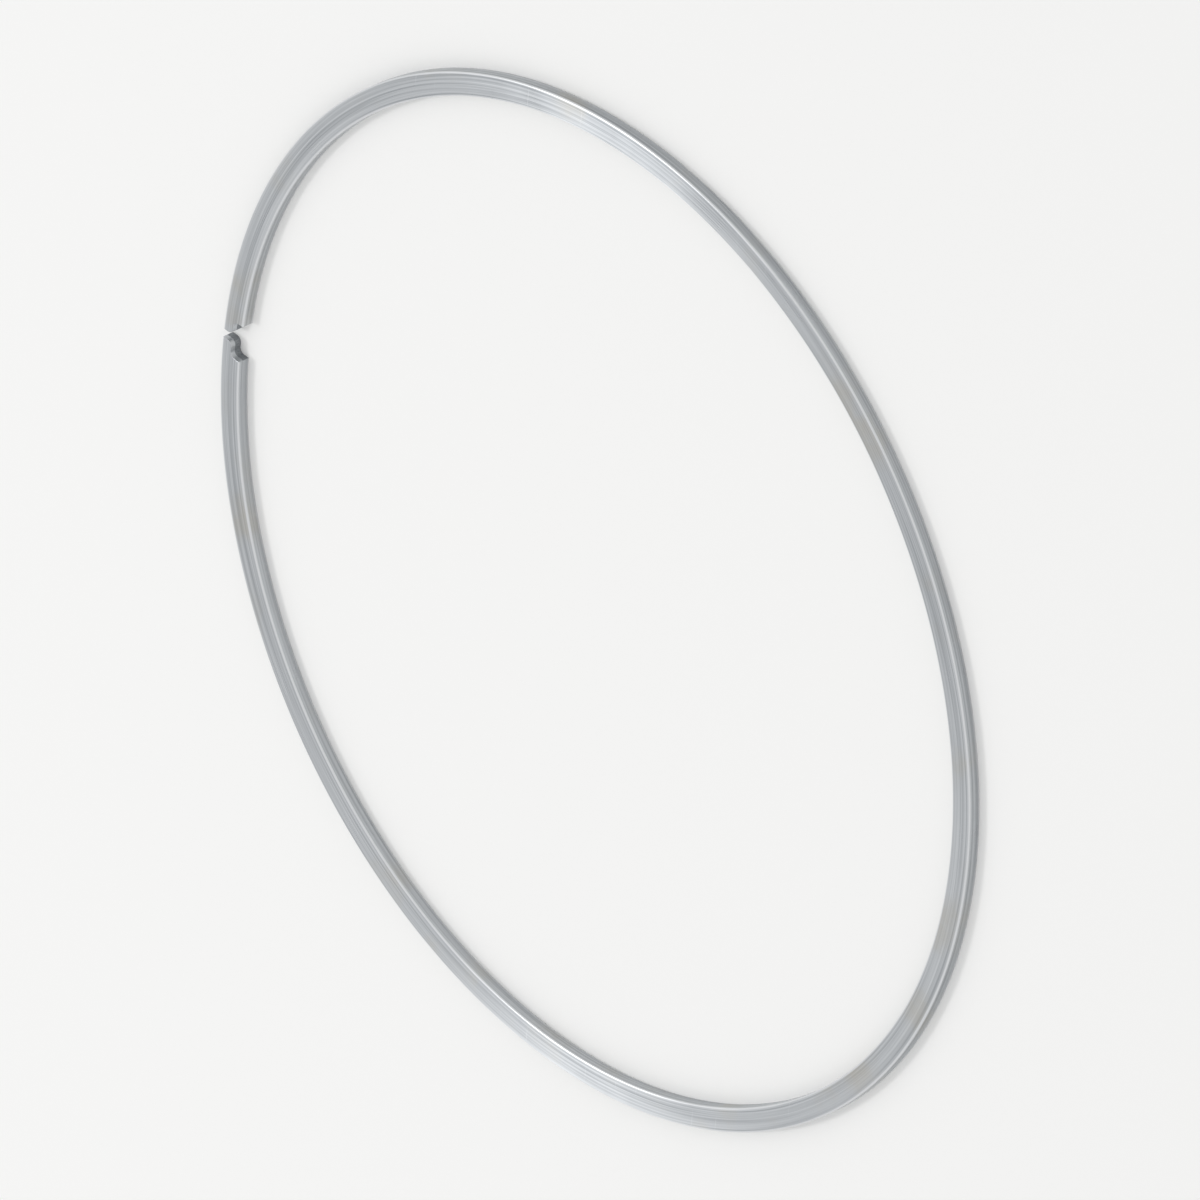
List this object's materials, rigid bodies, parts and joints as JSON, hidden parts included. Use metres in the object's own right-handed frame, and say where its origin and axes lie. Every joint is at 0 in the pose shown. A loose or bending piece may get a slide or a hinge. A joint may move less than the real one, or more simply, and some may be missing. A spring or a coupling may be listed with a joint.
{
  "type": "retaining ring",
  "caption": "Open ring of flat spring wire that snaps into a groove; its stepped ends leave a notch at the inner rim, where a blade lifts it out.",
  "frame": {"origin": "centre of the ring's lower face, on the ring's axis", "axes": "+Z along the ring's axis, -Y towards the gap between the two ends, +X to the right"},
  "size_m": [0.165, 0.165, 0.002],
  "materials": {
    "spring_steel": "satin"
  },
  "bodies": {
    "root": {"ring": "spring_steel"}
  },
  "joints": []
}
